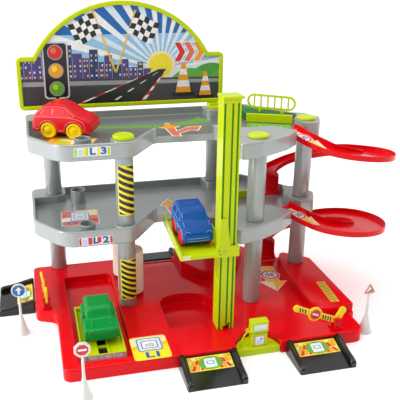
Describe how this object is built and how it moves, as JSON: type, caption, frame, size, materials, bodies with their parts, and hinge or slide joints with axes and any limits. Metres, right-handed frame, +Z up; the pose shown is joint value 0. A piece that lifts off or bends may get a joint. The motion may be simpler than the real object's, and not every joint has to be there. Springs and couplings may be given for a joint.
{
  "type": "toy parking garage",
  "caption": "Toy parking garage of moulded plastic with a red base, grey decks on columns, a lime lift tower, spiral ramps, an arched sign board, toy cars and road signs.",
  "frame": {"origin": "middle of the toy's bounding box at table height", "axes": "+X to the right along the longest side, +Y away from the front edge towards the sign board, +Z up"},
  "size_m": [0.6512, 0.4324, 0.4798],
  "materials": {
    "red_plastic": "smooth glossy moulded plastic",
    "deck_grey": "smooth silver grey moulded plastic",
    "column_grey": "smooth silver grey moulded plastic",
    "lime_plastic": "smooth lime moulded plastic",
    "black_plastic": "polished black moulded plastic",
    "yellow_plastic": "smooth yellow moulded plastic",
    "cream_plastic": "satin cream moulded plastic",
    "blue_plastic": "smooth blue moulded plastic",
    "green_plastic": "smooth green moulded plastic",
    "white_plastic": "satin white moulded plastic",
    "dark_green_plastic": "satin dark green moulded plastic",
    "printed_board": "glossy printed card behind clear film"
  },
  "bodies": {
    "chassis": {"barrier_pin_left": "red_plastic", "barrier_pin_right": "red_plastic", "barrier_post_left": "red_plastic", "barrier_post_right": "red_plastic", "base": "red_plastic", "column_cap_2": "lime_plastic", "column_cap_4": "lime_plastic", "column_cap_5": "lime_plastic", "column_lower_1": "column_grey", "column_lower_2": "column_grey", "column_lower_3": "column_grey", "column_lower_4": "column_grey", "column_lower_5": "column_grey", "column_upper_1": "column_grey", "column_upper_2": "column_grey", "column_upper_3": "column_grey", "column_upper_4": "column_grey", "column_upper_5": "column_grey", "deck_level_2": "deck_grey", "deck_level_3": "deck_grey", "front_ramp_left": "black_plastic", "front_ramp_right": "black_plastic", "fuel_pump": "lime_plastic", "left_ramp": "black_plastic", "lift_tower": "lime_plastic", "pump_hose": "lime_plastic", "railing_beam": "lime_plastic", "railing_stand": "dark_green_plastic", "rear_ramp": "black_plastic", "roller_pin_front": "cream_plastic", "roller_pin_rear": "cream_plastic", "roof_railing": "lime_plastic", "service_tray": "lime_plastic", "sign_foot_left": "lime_plastic", "sign_foot_right": "lime_plastic", "sign_frame": "lime_plastic", "sign_panel": "printed_board", "spiral_ramp_lower": "red_plastic", "spiral_ramp_upper": "red_plastic", "tower_cap": "lime_plastic", "wheel_stop": "lime_plastic"},
    "lift": {"lift_platform": "lime_plastic"},
    "barrier_left": {"barrier_arm_left": "yellow_plastic"},
    "barrier_right": {"barrier_arm_right": "yellow_plastic"},
    "roller_front": {"wash_roller_front": "cream_plastic"},
    "roller_rear": {"wash_roller_rear": "cream_plastic"},
    "red_car": {"red_car_body": "red_plastic"},
    "red_car_front_axle": {"red_front_wheels": "yellow_plastic"},
    "red_car_rear_axle": {"red_rear_wheels": "yellow_plastic"},
    "blue_car": {"blue_car_body": "blue_plastic"},
    "blue_car_front_axle": {"blue_front_wheels": "red_plastic"},
    "blue_car_rear_axle": {"blue_rear_wheels": "red_plastic"},
    "green_car": {"green_car_body": "green_plastic"},
    "green_car_front_axle": {"green_front_wheels": "green_plastic"},
    "green_car_rear_axle": {"green_rear_wheels": "green_plastic"},
    "sign_round": {"road_sign_round": "white_plastic"},
    "sign_octagon": {"road_sign_octagon": "white_plastic"},
    "sign_triangle": {"road_sign_triangle": "white_plastic"}
  },
  "joints": [
    {"name": "lift_slide", "type": "slide", "parent": "chassis", "child": "lift", "axis": [0, 0, 1], "range_m": [-0.123, 0.134]},
    {"name": "barrier_right_hinge", "type": "hinge", "parent": "chassis", "child": "barrier_right", "pos_m": [0.17553, -0.14215, 0.0334], "axis": [0, 1, 0], "range_deg": [-19, 60]},
    {"name": "barrier_left_hinge", "type": "hinge", "parent": "chassis", "child": "barrier_left", "pos_m": [-0.24927, 0.02085, 0.0334], "axis": [0.9976, 0.0698, 0], "range_deg": [-4, 70]},
    {"name": "roller_front_spin", "type": "hinge", "parent": "chassis", "child": "roller_front", "pos_m": [-0.10927, 0.03885, 0.06], "axis": [0, 0, 1], "continuous": true},
    {"name": "roller_rear_spin", "type": "hinge", "parent": "chassis", "child": "roller_rear", "pos_m": [-0.11027, 0.10385, 0.06], "axis": [0, 0, 1], "continuous": true},
    {"name": "red_car_lift_off", "type": "slide", "parent": "chassis", "child": "red_car", "axis": [0, 0, 1], "range_m": [0, 0.08]},
    {"name": "red_front_axle_spin", "type": "hinge", "parent": "red_car", "child": "red_car_front_axle", "pos_m": [-0.17804, 0.08101, 0.2968], "axis": [0.4067, 0.9135, 0], "continuous": true},
    {"name": "red_rear_axle_spin", "type": "hinge", "parent": "red_car", "child": "red_car_rear_axle", "pos_m": [-0.2155, 0.09769, 0.2968], "axis": [0.4067, 0.9135, 0], "continuous": true},
    {"name": "blue_car_lift_off", "type": "slide", "parent": "lift", "child": "blue_car", "axis": [0, 0, 1], "range_m": [0, 0.08]},
    {"name": "blue_front_axle_spin", "type": "hinge", "parent": "blue_car", "child": "blue_car_front_axle", "pos_m": [-0.02767, -0.06765, 0.1618], "axis": [1, 0, 0], "continuous": true},
    {"name": "blue_rear_axle_spin", "type": "hinge", "parent": "blue_car", "child": "blue_car_rear_axle", "pos_m": [-0.02767, -0.02665, 0.1618], "axis": [1, 0, 0], "continuous": true},
    {"name": "green_car_lift_off", "type": "slide", "parent": "chassis", "child": "green_car", "axis": [0, 0, 1], "range_m": [0, 0.05]},
    {"name": "green_front_axle_spin", "type": "hinge", "parent": "green_car", "child": "green_car_front_axle", "pos_m": [-0.17387, -0.07365, 0.0241], "axis": [1, 0, 0], "continuous": true},
    {"name": "green_rear_axle_spin", "type": "hinge", "parent": "green_car", "child": "green_car_rear_axle", "pos_m": [-0.17387, -0.03265, 0.0241], "axis": [1, 0, 0], "continuous": true},
    {"name": "sign_round_lift_off", "type": "slide", "parent": "chassis", "child": "sign_round", "axis": [0, 0, 1], "range_m": [0, 0.1]},
    {"name": "sign_octagon_lift_off", "type": "slide", "parent": "chassis", "child": "sign_octagon", "axis": [0, 0, 1], "range_m": [0, 0.1]},
    {"name": "sign_triangle_lift_off", "type": "slide", "parent": "chassis", "child": "sign_triangle", "axis": [0, 0, 1], "range_m": [0, 0.1]}
  ]
}
